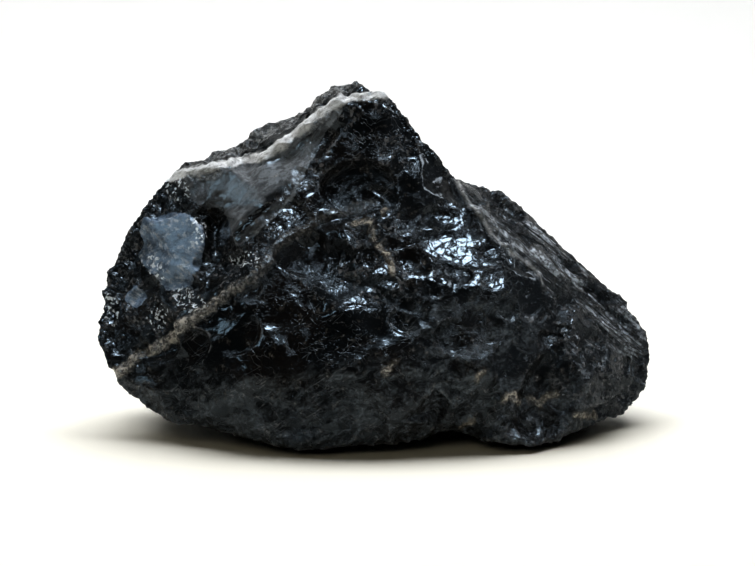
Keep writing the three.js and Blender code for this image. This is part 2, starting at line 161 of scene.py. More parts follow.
STROKES = {
    # the crushed seam along the crest
    "seam": [
        [(-50.5, 68), (-47, 69.5), (-42.5, 70.25), (-36, 71.5), (-28.5, 73), (-24, 75.5), (-18.5, 80),
         (-13.5, 84.3), (-8.5, 87.3), (-3.5, 88.6), (2.5, 88.7)],
    ],
    # the crumbled rim behind it
    "crust": [
        [(-46, 71.8), (-40, 73.4), (-34, 75.5), (-29, 78.5), (-22, 81), (-17, 85.5), (-12, 88.8), (-6, 91)],
    ],
    # the groove at the foot of the frosted face
    "groove": [[(-34.75, 53.5), (-28.5, 59.2), (-22, 65.5)]],
    # the long rib
    "rib": [
        [(-65, 18.8), (-59.75, 22.75), (-54.5, 26.25), (-48.5, 30.75), (-42.25, 35), (-36.5, 39.5),
         (-30, 43.25), (-26.5, 46.75), (-24, 51), (-18.5, 54.75), (-12.25, 58.25), (-6, 60.5), (0, 62.5)],
    ],
    # the edge in front of the flank
    "arete": [
        [(20.5, 67.5), (22.25, 64.25), (26, 59.25), (29.5, 53.75), (33.5, 49.75), (39, 46), (43.5, 41.75)],
    ],
    # beige veins
    "vein": [
        [(-4.8, 56.6), (-0.8, 57.4), (1, 54), (1.6, 51), (4.2, 47.6), (4.6, 43.8)], [(3, 61.5), (2.2, 59.6)],
        [(2.5, 18.5), (3.5, 20), (5.5, 22)], [(26, 18), (27.5, 19.5)], [(32.5, 12.5), (35, 13.8), (36, 11.5)],
        [(38.5, 12.8), (41, 11.2), (43, 13.2), (46, 13.6)],
        [(22, 5.5), (25, 7)], [(50.5, 8.5), (56, 8)],
    ],
}
STROKE_STEP = 0.35  # from point to point along a stroke, in millimetres
KEPT = ("seam",)  # strokes that scars leave standing, as they do the lump's outline
# How far each mark reaches, and over how far it then fades, in millimetres.
KEEP_WIDTHS = (1.5, 3.0)
STROKE_WIDTHS = {
    "seam": (0.5, 2.2), "crust": (1.8, 2.2), "groove": (0.2, 0.7), "rib": (0.2, 2.7), "arete": (0.15, 0.7),
    "vein": (0.1, 1.4),
}
OUTLINE_WIDTHS = {
    "plain": (0.4, 1.2), "calm": (1, 5), "window": (0.1, 1.6), "crest": (0.1, 2.0), "foot": (0.1, 1.0),
    "crazed": (0.3, 3), "flank": (0.3, 1.4), "chips": (0.5, 3), "sparks": (0.2, 1.5), "cloud": (1, 6),
}
GLINT = (0.075, -0.685, 0.725)  # the lean of a face that throws the key light to the eye
BLUE = (-0.358, -0.761, 0.541)  # the lean of a face that throws the side light to the eye
STEEP = (-0.15, -0.85, 0.5)  # the lean of a face that shows the dark room
LOFTY = (0.05, -0.55, 0.83)  # the lean of a face that shows the ceiling
SHADED = (-0.05, -0.96, 0.28)  # the lean of a face that shows only the front of the room
OWN = None  # the surface's own lean
# Scars with a place of their own: across, up, half width, half length, turn of the length from level in
# degrees, depth in millimetres, and lean.
PLACED_SCARS = [
    # the bright scoop: hollow, main patch, lower patch and the rim round the hollow
    (18.25, 56.5, 4.0, 5.5, -15, 0.9, LOFTY),
    (21.5, 49.5, 4.2, 9.5, -16, 0.16, GLINT),
    (26.5, 43.3, 3.2, 4.6, -12, 0.12, GLINT),
    (32.3, 41.6, 3.4, 4.6, -12, 0.12, GLINT),
    (12.75, 55.0, 1.2, 3.6, 55, 0.12, GLINT),
    (15.5, 58.7, 1.2, 3.0, 42, 0.12, GLINT),
    (20.5, 60.8, 1.2, 4.2, 0, 0.12, GLINT),
    # dark dishes left of it
    (10.75, 47.75, 3.8, 4.5, 10, 0.7, STEEP),
    (-0.5, 48.0, 2.8, 3.4, 0, 0.5, STEEP),
    # glints on the middle of the face
    (3.5, 40.25, 2.3, 3.0, 15, 0.12, GLINT),
    (-0.25, 35.1, 0.6, 6.5, -3, 0.1, GLINT),
    (-5.5, 37.5, 0.8, 1.6, -30, 0.1, GLINT),
    (-4.0, 43.5, 0.8, 1.8, 20, 0.1, GLINT),
    (-40.4, 27.8, 0.6, 2.2, 8, 0.1, GLINT),
    (-26.6, 30.5, 0.8, 3.2, 4, 0.12, GLINT),
    (-29.0, 36.8, 0.7, 2.0, -20, 0.1, GLINT),
    (-20.5, 38.8, 0.5, 1.6, -10, 0.08, GLINT),
    (-34.5, 47.0, 1.2, 2.6, 30, 0.12, GLINT),
    (-30.5, 45.5, 0.8, 2.0, -20, 0.1, GLINT),
    # chips round the window and at the left end
    (-47.75, 38.5, 1.8, 3.4, -55, 0.25, BLUE),
    (-45.5, 34.6, 1.3, 2.2, 20, 0.2, BLUE),
    (-56.0, 33.5, 1.0, 3.0, 62, 0.2, GLINT),
    (-44.7, 54.7, 0.8, 2.2, 80, 0.15, BLUE),
    (-56.2, 46.5, 0.8, 2.8, -45, 0.15, BLUE),
    (-53.0, 42.0, 0.8, 2.0, -50, 0.15, GLINT),
    (-64.0, 41.0, 0.8, 2.0, -35, 0.15, GLINT),
    (-53.5, 62.5, 1.4, 2.4, 40, 0.2, BLUE),
    (-47.3, 63.3, 0.9, 2.2, -30, 0.15, BLUE),
    (-38.0, 63.5, 0.9, 1.6, 10, 0.12, BLUE),
    # chips under the crest and round the peak
    (-18.6, 59.5, 0.9, 3.0, -65, 0.12, GLINT),
    (-16.5, 63.5, 0.7, 1.8, 40, 0.12, GLINT),
    (-14.5, 68.5, 0.9, 1.8, 50, 0.12, GLINT),
    (-12.0, 73.0, 0.8, 1.6, 20, 0.12, GLINT),
    (-8.5, 79.5, 0.8, 1.6, 60, 0.12, GLINT),
    (3.2, 86.6, 0.7, 1.8, -40, 0.12, GLINT),
    (9.0, 72.9, 0.5, 2.0, 8, 0.1, GLINT),
    (-6.5, 68.5, 0.5, 1.2, 30, 0.08, GLINT),
    # glints on the right end
    (56.0, 26.5, 0.7, 1.4, -30, 0.12, GLINT),
    (60.5, 22.5, 0.6, 1.2, 40, 0.1, GLINT),
    (52.0, 23.0, 0.7, 1.2, -60, 0.12, GLINT),
    (63.5, 26.0, 0.6, 1.6, 70, 0.1, GLINT),
    (57.5, 17.5, 0.6, 1.3, 10, 0.1, GLINT),
    (49.0, 28.0, 0.7, 1.5, -40, 0.12, GLINT),
    (64.8, 19.5, 0.6, 1.6, 80, 0.1, GLINT),
    (61.0, 30.5, 0.6, 1.5, -45, 0.1, GLINT),
    (54.0, 32.5, 0.7, 1.6, -45, 0.12, GLINT),
    (48.0, 34.0, 0.8, 1.8, -30, 0.12, GLINT),
    # the striations of the flank
    (36.5, 53.5, 1.1, 8.0, -42, 0.5, OWN),
    (41.0, 53.0, 0.8, 9.0, -42, 0.4, OWN),
    (45.0, 46.5, 1.1, 9.0, -40, 0.5, OWN),
    (50.0, 44.5, 0.8, 8.0, -41, 0.4, OWN),
    (52.0, 38.0, 1.0, 8.0, -38, 0.5, OWN),
    (57.5, 37.0, 0.8, 8.0, -42, 0.4, OWN),
    (58.0, 29.5, 1.1, 7.0, -40, 0.5, OWN),
    (33.0, 57.5, 0.8, 7.0, -43, 0.4, OWN),
    (39.5, 49.8, 0.7, 8.0, -41, 0.35, OWN),
    (48.0, 41.8, 0.8, 8.0, -40, 0.4, OWN),
    (62.0, 31.5, 0.8, 6.0, -44, 0.4, OWN),
    # the groove at the foot of the frosted face
    (-28.5, 59.2, 0.6, 8.7, 43, 0.5, OWN),
    # the shaded side left of the long rib's foot
    (-35.5, 29.5, 5.0, 6.0, 0, 0.2, SHADED),
    (-47.0, 25.0, 4.0, 5.5, 30, 0.2, SHADED),
    (21.5, 28.0, 4.0, 5.0, 0, 0.2, STEEP),
    (9.5, 32.2, 3.4, 4.6, 0, 0.25, STEEP),
    # the dark faces under the peak
    (1.0, 62.8, 2.6, 4.6, -20, 0.25, STEEP),
    (-3.5, 64.8, 6.0, 8.0, 0, 0.3, STEEP),
]
# The facts that each scar carries, and the kind of each.
SCAR_FACTS = {
    "axis": "FLOAT_VECTOR", "side": "FLOAT_VECTOR", "width": "FLOAT", "length": "FLOAT", "depth": "FLOAT",
}
# Rounds of flake scars: scars to a square metre, least and most half width in millimetres, depth for width,
# lean, how far they keep to edges, how patchy they are, and how far their outlines wander in millimetres.
SCARS = [
    (5000.0, 4.0, 9.0, 0.04, 0.05, 0.0, 0.0, 2.5),
    (45000.0, 1.6, 4.0, 0.04, 0.12, 0.3, 0.6, 1.2),
    (160000.0, 0.8, 1.7, 0.05, 0.25, 0.6, 0.8, 0.5),
]
PLACED_SEED = 9  # numbers the placed scars apart from the scattered ones
CALM_HOLD, CRAZED_HOLD = 0.9, 0.7  # shares of the scars that calm and crazed faces go without
CHIPPED_CROWD = 2.5  # scars where chips crowd, for each one elsewhere
KEEP_HOLD = 0.85  # share of a scar's depth that kept places are spared
DEEPEST_CUT = 0.6  # a scar's greatest depth, for its half width
LEAST_CUT = 0.000002  # in metres: a shallower cut leaves the surface alone
# How many steps of blurring an edge is measured against: on the plain lump, after each round, and at the end.
FIRST_EDGES, ROUND_EDGES, LAST_EDGES = 8, 4, 3
WELD = 0.00001  # corners of the solid's faces closer than this are one
EASE_STEPS, RIB_EASE = 60, 0.8  # blurring of the lump's own facets along the rib, and how much of it is used
CRUMBLE = {"Size": 0.0022, "Height": 0.0024}  # grain and height of the crumbled rims, in metres
RAISED = {"seam": 0.0003, "rib": 0.0002}  # how far the seam and the rib stand up, in metres
RAISED_GRAIN = 0.003
FOOT_HEIGHT = 0.0004  # what lies lower than this is set on the ground


# -------------------------------------------------------------------------------------------- node helpers


def add(tree, kind, inputs=None, **settings):
    """A new node. An input is given a socket to link or a value to hold."""
    node = tree.nodes.new(kind)
    for name, value in settings.items():
        setattr(node, name, value)
    for key, value in (inputs or {}).items():
        feed(value, node.inputs[key])
    return node


def feed(value, socket):
    """Links a socket to another one, or has it hold a value."""
    if isinstance(value, NodeSocket):
        socket.id_data.links.new(value, socket)
    else:
        socket.default_value = value


def tree_of(*values):
    """The node tree of the first socket among the values."""
    return next(value.id_data for value in values if isinstance(value, NodeSocket))


def maths(operation, *values):
    return add(tree_of(*values), "ShaderNodeMath", dict(enumerate(values)), operation=operation).outputs[0]


def in_turn(operation, values):
    """The maths node's result over the first two values, then over that and the next one, and so on."""
    result, *others = values
    for other in others:
        result = maths(operation, result, other)
    return result


def times(*values):
    return in_turn("MULTIPLY", values)


def total(*values):
    return in_turn("ADD", values)


def most(*values):
    return in_turn("MAXIMUM", values)


def minus(value, other):
    return maths("SUBTRACT", value, other)


def over(value, other):
    return maths("DIVIDE", value, other)


def without(value):
    """What a share leaves of the whole."""
    return minus(1.0, value)


def vectors(operation, *values):
    node = add(tree_of(*values), "ShaderNodeVectorMath", dict(enumerate(values)), operation=operation)
    return node.outputs["Value" if operation in ("DOT_PRODUCT", "LENGTH") else "Vector"]


def scaled(vector, factor):
    inputs = {0: vector, "Scale": factor}
    return add(tree_of(vector, factor), "ShaderNodeVectorMath", inputs, operation="SCALE").outputs["Vector"]


def dot(vector, other):
    return vectors("DOT_PRODUCT", vector, other)


def joined(x, y, z):
    return add(tree_of(x, y, z), "ShaderNodeCombineXYZ", {0: x, 1: y, 2: z}).outputs[0]


def parted(vector):
    return add(vector.id_data, "ShaderNodeSeparateXYZ", {0: vector}).outputs[:3]


def ramp(value, low, high, to_low=0.0, to_high=1.0):
    """value moved smoothly from to_low at low to to_high at high."""
    limits = {"Value": value, "From Min": low, "From Max": high, "To Min": to_low, "To Max": to_high}
    node = add(value.id_data, "ShaderNodeMapRange", interpolation_type="SMOOTHSTEP")
    for name, limit in limits.items():
        feed(limit, node.inputs[name])
    return node.outputs["Result"]


def clouds(vector, scale, detail, rough=0.5, distortion=0.0, output="Fac"):
    """Noise about 0.5."""
    inputs = {
        "Vector": vector, "Scale": scale, "Detail": detail, "Roughness": rough, "Distortion": distortion,
    }
    return add(vector.id_data, "ShaderNodeTexNoise", inputs).outputs[output]


def wander(vector, scale, detail):
    """A direction and length that drift from place to place."""
    return vectors("SUBTRACT", clouds(vector, scale, detail, output="Color"), (0.5, 0.5, 0.5))


def new_group(kind, name, inputs, outputs):
    """A node group, its given sockets and the sockets that take its results."""
    group = bpy.data.node_groups.new(name, kind)
    for direction, items in (("INPUT", inputs), ("OUTPUT", outputs)):
        for item, (socket_kind, default) in items.items():
            socket = group.interface.new_socket(item, in_out=direction, socket_type=socket_kind)
            if default is not None:
                socket.default_value = default
    return group, add(group, "NodeGroupInput").outputs, add(group, "NodeGroupOutput").inputs


def a_number(default=None):
    return "NodeSocketFloat", default


SHAPE = {"Geometry": ("NodeSocketGeometry", None)}
SOME_OBJECT = ("NodeSocketObject", None)
SOME_NAME = ("NodeSocketString", "")
SOME_VECTOR = ("NodeSocketVector", None)


def new_geometry_group(name, **inputs):
    """A geometry group, its given sockets and the socket that takes the new geometry."""
    named = {label.replace("_", " "): item for label, item in inputs.items()}
    group, given, result = new_group("GeometryNodeTree", name, {**SHAPE, **named}, SHAPE)
    return group, given, result[0]


def position_in(group):
    return add(group, "GeometryNodeInputPosition").outputs[0]


def normal_in(group):
    return add(group, "GeometryNodeInputNormal").outputs[0]


def stored(group, name, kind="FLOAT"):
    return add(group, "GeometryNodeInputNamedAttribute", {"Name": name}, data_type=kind).outputs[0]


def store(geometry, name, value, kind="FLOAT", where=True):
    """The geometry with a value stored at each point, or at the points where it is wanted."""
    return add(
        geometry.id_data, "GeometryNodeStoreNamedAttribute",
        {"Geometry": geometry, "Selection": where, "Name": name, "Value": value},
        data_type=kind, domain="POINT",
    ).outputs[0]


def move(geometry, offset, where=True):
    return add(
        geometry.id_data, "GeometryNodeSetPosition",
        {"Geometry": geometry, "Selection": where, "Offset": offset},
    ).outputs[0]


def blurred(value, steps):
    return add(
        value.id_data, "GeometryNodeBlurAttribute", {"Value": value, "Iterations": steps},
        data_type="FLOAT_VECTOR",
    ).outputs[0]


# ------------------------------------------------------------------------------------------ object helpers


def select_only(piece):
    bpy.ops.object.select_all(action="DESELECT")
    piece.select_set(True)
    bpy.context.view_layer.objects.active = piece


def apply_modifier(piece, kind, **settings):
    """Gives the piece a modifier with its settings, and applies it."""
    modifier = piece.modifiers.new(kind, kind)
    for name, value in settings.items():
        setattr(modifier, name, value)
    select_only(piece)
    bpy.ops.object.modifier_apply(modifier=modifier.name)


def apply_group(piece, group, **values):
    """Runs a geometry group over the piece as a modifier, and applies it."""
    modifier = piece.modifiers.new(group.name, "NODES")
    modifier.node_group = group
    for item in group.interface.items_tree:
        if item.item_type == "SOCKET" and item.in_out == "INPUT" and item.name in values:
            modifier[item.identifier] = values[item.name]
    select_only(piece)
    bpy.ops.object.modifier_apply(modifier=modifier.name)


def new_helper(name, vertices, faces=()):
    """A helper: a mesh that only guides the shaping, and is removed after it."""
    mesh = bpy.data.meshes.new(name)
    mesh.from_pydata(vertices, [], list(faces))
    made = bpy.data.objects.new(name, mesh)
    bpy.context.scene.collection.objects.link(made)
    return made


# ---------------------------------------------------------------------------------------------- the guides


def on_lump(lump, across, up):
    """Where a sight line meets the lump, with the lump's normal there; off its outline, the nearest place."""
    aim = place(across, up, 0)
    hit, spot, normal, _ = lump.ray_cast(EYE, (aim - EYE).normalized())
    if not hit:
        hit, spot, normal, _ = lump.closest_point_on_mesh(aim)
    return spot, normal


def stroke_points(lump, line):
    """Points along a stroke, on the lump."""
    for start, end in zip(line, line[1:]):
        start, end = Vector(start), Vector(end)
        steps = math.ceil((end - start).length / STROKE_STEP)
        for i in range(steps):
            yield on_lump(lump, *start.lerp(end, i / steps))[0]


def stroke_guide(lump, lines):
    """A helper with points along strokes."""
    return new_helper("strokes", [point for line in lines for point in stroke_points(lump, line)])


def outline_guide(lines):
    """A helper with a face for each outline, on the plane of the sight net."""
    vertices, faces = [], []
    for line in lines:
        faces.append(list(range(len(vertices), len(vertices) + len(line))))
        vertices += [place(*point, 0) for point in line]
    return new_helper("outlines", vertices, faces)


def keep_guide(lump):
    """A helper with points along the strokes to keep, and where the lump turns away from the eye."""
    shape = bmesh.new()
    shape.from_mesh(lump.data)

    def faces_eye(face):
        return face.normal.dot(EYE - face.calc_center_median()) > 0

    rim = [
        edge for edge in shape.edges
        if len(edge.link_faces) == 2 and faces_eye(edge.link_faces[0]) != faces_eye(edge.link_faces[1])
    ]
    points = {vertex.index: vertex.co.copy() for edge in rim for vertex in edge.verts}
    shape.free()
    strokes = [point for name in KEPT for line in STROKES[name] for point in stroke_points(lump, line)]
    return new_helper("kept", strokes + list(points.values()))


def mark_near(lump, nearness, helper, name, widths, filled=False):
    """Stores a mark on the lump near a helper, and removes the helper."""
    reach, fade = (width * MM for width in widths)
    apply_group(lump, nearness, Guide=helper, Name=name, Faces=filled, Reach=reach, Fade=fade)
    bpy.data.objects.remove(helper)


def placed_scars(lump):
    """A helper with a vertex for each placed scar, where its sight line meets the lump."""
    middles, facts = [], []
    for across, up, width, length, turn, hollow, lean in PLACED_SCARS:
        spot, normal = on_lump(lump, across, up)
        axis = Vector(lean).normalized() if lean else normal
        level = Vector((math.cos(math.radians(turn)), 0, math.sin(math.radians(turn))))
        side = (level - axis * level.dot(axis)).normalized()
        middles.append(spot)
        facts.append((axis, side, width * MM, length / width, hollow * MM))
    helper = new_helper("placed scars", middles)
    for (name, kind), values in zip(SCAR_FACTS.items(), zip(*facts)):
        layer = helper.data.attributes.new(name, kind, "POINT")
        field = "value" if kind == "FLOAT" else "vector"
        for entry, value in zip(layer.data, values):
            setattr(entry, field, value)
    return helper


# ------------------------------------------------------------------------------------------ shaping groups


def nearness_group():
    """Stores how near each point lies to a guide: 1 within Reach, fading to 0 over Fade.

    For a guide with faces, points are taken along their sight lines to the plane of the sight net, and only
    those on the side of the eye are marked."""
    group, given, result = new_geometry_group(
        "Mark near a guide", Guide=SOME_OBJECT, Name=SOME_NAME, Faces=("NodeSocketBool", False),
        Reach=a_number(0.001), Fade=a_number(0.001),
    )
    shape = add(group, "GeometryNodeObjectInfo", {"Object": given["Guide"]}).outputs["Geometry"]
    position, normal = position_in(group), normal_in(group)
    sight = vectors("SUBTRACT", position, tuple(EYE))
    depth = times(dot(sight, tuple(SIGHT)), -1.0)
    on_net = vectors("ADD", tuple(EYE), scaled(sight, over(EYE_DISTANCE * MM, depth)))
    turned = dot(normal, vectors("NORMALIZE", sight))
    seen = most(ramp(turned, -0.12, 0.1, 1.0, 0.0), without(given["Faces"]))
    to_face, to_point = (
        add(group, "GeometryNodeProximity", {0: shape, **sample}, target_element=element).outputs["Distance"]
        for element, sample in (("FACES", {"Sample Position": on_net}), ("POINTS", {}))
    )
    distance = add(
        group, "GeometryNodeSwitch", {"Switch": given["Faces"], "False": to_point, "True": to_face},
        input_type="FLOAT",
    ).outputs[0]
    near = ramp(distance, given["Reach"], total(given["Reach"], given["Fade"]), 1.0, 0.0)
    feed(store(given["Geometry"], given["Name"], times(near, seen)), result)
    return group


def scatter_group():
    """Scatters the middles of flake scars over the surface, each with its facts."""
    group, given, result = new_geometry_group(
        "Scatter scars", Density=a_number(10000.0), Least_width=a_number(0.002), Most_width=a_number(0.008),
        Hollow=a_number(0.12), Lean=a_number(0.15), On_edges=a_number(0.0), Patchy=a_number(0.0),
        Seed=("NodeSocketInt", 0),
    )
    position = position_in(group)
    seed = given["Seed"]

    def chance(low, high, draw):
        inputs = {2: low, 3: high, "Seed": total(seed, draw)}
        return add(group, "FunctionNodeRandomValue", inputs, data_type="FLOAT").outputs[1]

    def direction(draw):
        inputs = {0: (-1.0, -1.0, -1.0), 1: (1.0, 1.0, 1.0), "Seed": total(seed, draw)}
        return add(group, "FunctionNodeRandomValue", inputs, data_type="FLOAT_VECTOR").outputs[0]

    def held(weight, factor):
        """A factor that counts by a weight."""
        return without(times(weight, without(factor)))

    drift = add(
        group, "ShaderNodeTexNoise", {"Vector": position, "Scale": 60.0, "Detail": 2.0, "W": seed},
        noise_dimensions="4D",
    ).outputs["Fac"]
    bare = times(
        without(stored(group, "plain")), held(CALM_HOLD, without(stored(group, "calm"))),
        held(CRAZED_HOLD, without(stored(group, "crazed"))),
    )
    factor = times(
        held(given["On edges"], ramp(stored(group, "edge"), 0.02, 0.14)),
        held(given["Patchy"], ramp(drift, 0.42, 0.6)), bare,
        ramp(stored(group, "chips"), 0.0, 1.0, 1.0, CHIPPED_CROWD),
    )
    points = add(
        group, "GeometryNodeDistributePointsOnFaces",
        {"Mesh": given["Geometry"], "Density": times(given["Density"], factor), "Seed": seed},
        distribute_method="RANDOM",
    )
    small = given["Least width"]
    span = minus(given["Most width"], small)
    width = total(small, times(span, maths("POWER", chance(0.0, 1.0, 1), 2.0)))
    depth = times(width, times(given["Hollow"], chance(0.3, 1.3, 2)))
    axis = vectors("ADD", points.outputs["Normal"], scaled(direction(3), given["Lean"]))
    axis = vectors("NORMALIZE", axis)
    side = vectors("NORMALIZE", vectors("CROSS_PRODUCT", axis, direction(4)))
    flow = points.outputs["Points"]
    for (name, kind), value in zip(SCAR_FACTS.items(), (axis, side, width, chance(1.0, 2.2, 5), depth)):
        flow = store(flow, name, value, kind)
    feed(flow, result)
    return group


def carve_group():
    """Takes flakes off the surface one after another, and stores each place's polar place in its flake."""
    group, given, result = new_geometry_group(
        "Carve", Scars=("NodeSocketGeometry", None), Seed=("NodeSocketInt", 0)
    )
    points = given["Scars"]
    count = add(group, "GeometryNodeAttributeDomainSize", {"Geometry": points}, component="POINTCLOUD")
    begin = add(group, "GeometryNodeRepeatInput")
    finish = add(group, "GeometryNodeRepeatOutput")
    begin.pair_with_output(finish)
    feed(count.outputs["Point Count"], begin.inputs["Iterations"])
    feed(given["Geometry"], begin.inputs["Geometry"])
    turn = begin.outputs["Iteration"]

    def sample(value, kind):
        return add(
            group, "GeometryNodeSampleIndex", {"Geometry": points, "Value": value, "Index": turn},
            data_type=kind, domain="POINT",
        ).outputs[0]

    position = position_in(group)
    middle = sample(position, "FLOAT_VECTOR")
    axis, side, width, length, depth = (
        sample(stored(group, name, kind), kind) for name, kind in SCAR_FACTS.items()
    )
    other = vectors("CROSS_PRODUCT", axis, side)
    away = vectors("SUBTRACT", vectors("ADD", position, stored(group, "warp", "FLOAT_VECTOR")), middle)

    # how far each point stands above the bottom of the scar, which is part of a long ball
    u, v = over(dot(away, side), length), dot(away, other)
    across = total(times(u, u), times(v, v))
    radius = over(times(width, width), times(depth, 2.0))
    floor = maths("SQRT", most(minus(times(radius, radius), across), 0.0))
    above = total(minus(dot(away, axis), radius), total(depth, floor))
    near = ramp(over(maths("SQRT", across), width), 1.05, 1.25, 1.0, 0.0)
    spare = without(times(stored(group, "keep"), KEEP_HOLD))
    cut = times(maths("MINIMUM", most(above, 0.0), times(width, DEEPEST_CUT)), near, spare)
    carved = maths("GREATER_THAN", cut, LEAST_CUT)
    shape = move(begin.outputs["Geometry"], scaled(axis, times(cut, -1.0)), carved)

    # the place in the flake, from the end where it was struck
    start = vectors("ADD", middle, scaled(side, times(width, length)))
    spoke = vectors("SUBTRACT", position, start)
    angle = maths("ARCTAN2", dot(spoke, other), times(dot(spoke, side), -1.0))
    number = total(turn, times(given["Seed"], 37.0))
    polar = joined(over(vectors("LENGTH", spoke), MM), angle, number)
    feed(store(shape, "flake", polar, "FLOAT_VECTOR", carved), finish.inputs["Geometry"])
    feed(finish.outputs["Geometry"], result)
    return group


def carved_by(carve, geometry, scars, seed):
    """The geometry with the scars carved into it."""
    inputs = {"Geometry": geometry, "Scars": scars, "Seed": seed}
    return add(geometry.id_data, "GeometryNodeGroup", inputs, node_tree=carve).outputs[0]


def scattered_scars_group(scatter, carve):
    """Scatters scars over the surface and carves them."""
    extras = {
        item.name: (item.socket_type, item.default_value)
        for item in scatter.interface.items_tree
        if item.in_out == "INPUT" and item.name != "Geometry"
    }
    group, given, result = new_geometry_group("Scattered scars", **extras)
    inputs = {name: given[name] for name in ("Geometry", *extras)}
    points = add(group, "GeometryNodeGroup", inputs, node_tree=scatter).outputs[0]
    feed(carved_by(carve, given["Geometry"], points, given["Seed"]), result)
    return group


def placed_scars_group(carve):
    """Carves the scars that a helper holds, one for each of its vertices."""
    group, given, result = new_geometry_group("Placed scars", Scars=SOME_OBJECT)
    shape = add(group, "GeometryNodeObjectInfo", {"Object": given["Scars"]}).outputs["Geometry"]
    points = add(group, "GeometryNodeMeshToPoints", {"Mesh": shape}).outputs[0]
    feed(carved_by(carve, given["Geometry"], points, PLACED_SEED), result)
    return group


def swell_group():
    """Swells the surface in slow uneven waves, and softens it along the long rib."""
    group, given, result = new_geometry_group("Swell", Size=a_number(0.012), Height=a_number(0.001))
    position, normal = position_in(group), normal_in(group)
    wave = clouds(position, over(1.0, given["Size"]), 2.0)
    height = times(
        minus(wave, 0.5), given["Height"], without(stored(group, "plain")), without(stored(group, "keep"))
    )
    toward = vectors("SUBTRACT", blurred(position, EASE_STEPS), position)
    toward = scaled(toward, times(stored(group, "rib"), RIB_EASE))
    feed(move(given["Geometry"], vectors("ADD", toward, scaled(normal, height))), result)
    return group


def crumble_group():
    """Roughens the surface where scars are kept off it, and less on the seam."""
    group, given, result = new_geometry_group("Crumble", Size=a_number(0.002), Height=a_number(0.0008))
    position, normal = position_in(group), normal_in(group)
    rough = clouds(position, over(1.0, given["Size"]), 4.0, 0.6)
    where = most(stored(group, "keep"), stored(group, "crust"))
    where = times(where, ramp(stored(group, "seam"), 0.2, 0.9, 1.0, 0.3))
    height = times(minus(rough, 0.5), given["Height"], where)
    feed(move(given["Geometry"], scaled(normal, height)), result)
    return group


def warp_group():
    """Stores a small wander for each point, which keeps the scars' outlines from being round."""
    group, given, result = new_geometry_group("Wander", Size=a_number(0.005), Amount=a_number(0.0025))
    position = position_in(group)
    swirl = scaled(wander(position, over(1.0, given["Size"]), 3.0), given["Amount"])
    feed(store(given["Geometry"], "warp", swirl, "FLOAT_VECTOR"), result)
    return group


def edge_group():
    """Stores how far each point stands out of the surface round it, in millimetres."""
    group, given, result = new_geometry_group("Edges", Reach=("NodeSocketInt", 6))
    position, normal = position_in(group), normal_in(group)
    stands_out = dot(vectors("SUBTRACT", position, blurred(position, given["Reach"])), normal)
    feed(store(given["Geometry"], "edge", over(stands_out, MM)), result)
    return group


def raise_group():
    """Raises the surface where a stored mark is strong, unevenly."""
    group, given, result = new_geometry_group(
        "Raise a mark", Name=SOME_NAME, Height=a_number(0.0005), Grain=a_number(0.004)
    )
    position, normal = position_in(group), normal_in(group)
    patchy = ramp(clouds(position, over(1.0, given["Grain"]), 4.0), 0.3, 0.65)
    height = times(stored(group, given["Name"]), patchy, given["Height"])
    feed(move(given["Geometry"], scaled(normal, height)), result)
    return group


def land_group():
    """Keeps the foot flat on the ground."""
    group, given, result = new_geometry_group("Land")
    x, y, z = parted(position_in(group))
    above = times(most(z, 0.0), maths("GREATER_THAN", z, FOOT_HEIGHT))
    inputs = {"Geometry": given["Geometry"], "Position": joined(x, y, above)}
    feed(add(group, "GeometryNodeSetPosition", inputs).outputs[0], result)
    return group


# ---------------------------------------------------------------------------------------------- the finish


def plates_shader_group():
    """Height of small broken plates, each tilted its own way, and a chance that each plate keeps."""
    group, given, result = new_group(
        "ShaderNodeTree", "Broken plates",
        {"Vector": SOME_VECTOR, "Size": a_number(1.0), "Tilt": a_number(0.2), "Wander": a_number(0.3)},
        {"Height": a_number(), "Chance": a_number()},
    )
    inverse = over(1.0, given["Size"])
    swirl = scaled(wander(given["Vector"], inverse, 2.0), given["Wander"])
    spot = vectors("ADD", given["Vector"], scaled(swirl, given["Size"]))
    cells = add(group, "ShaderNodeTexVoronoi", {"Vector": spot, "Scale": inverse}, feature="F1").outputs
    tilt = vectors("SUBTRACT", cells["Color"], (0.5, 0.5, 0.5))
    height = dot(vectors("SUBTRACT", spot, cells["Position"]), tilt)
    feed(times(height, given["Tilt"]), result["Height"])
    feed(parted(cells["Color"])[0], result["Chance"])
    return group


def flake_shader_group():
    """Height of the ripples and the spray of fine hackle that run out from where each flake was struck."""
    group, given, result = new_group(
        "ShaderNodeTree", "Flake marks",
        {"Flake": SOME_VECTOR, "Ripple": a_number(0.01), "Hackle": a_number(0.01)}, {"Height": a_number()},
    )
    reach, angle, number = parted(given["Flake"])
    struck = maths("GREATER_THAN", number, 1.0)
    spray = clouds(joined(times(angle, 9.0), times(reach, 0.22), times(number, 7.3)), 1.0, 3.0)
    wave = times(maths("SINE", total(times(reach, 5.2), times(spray, 5.0))), given["Ripple"])
    height = total(wave, times(spray, given["Hackle"]))
    feed(times(height, struck), result["Height"])
    return group


def opaque(colour):
    return (*colour, 1.0)


def mixed(share, colour, other):
    """A colour with a share of the other one laid over it."""
    node = add(share.id_data, "ShaderNodeMix", {"Factor": share}, data_type="RGBA")
    feed(colour, node.inputs["A"])
    feed(other, node.inputs["B"])
    return node.outputs["Result"]


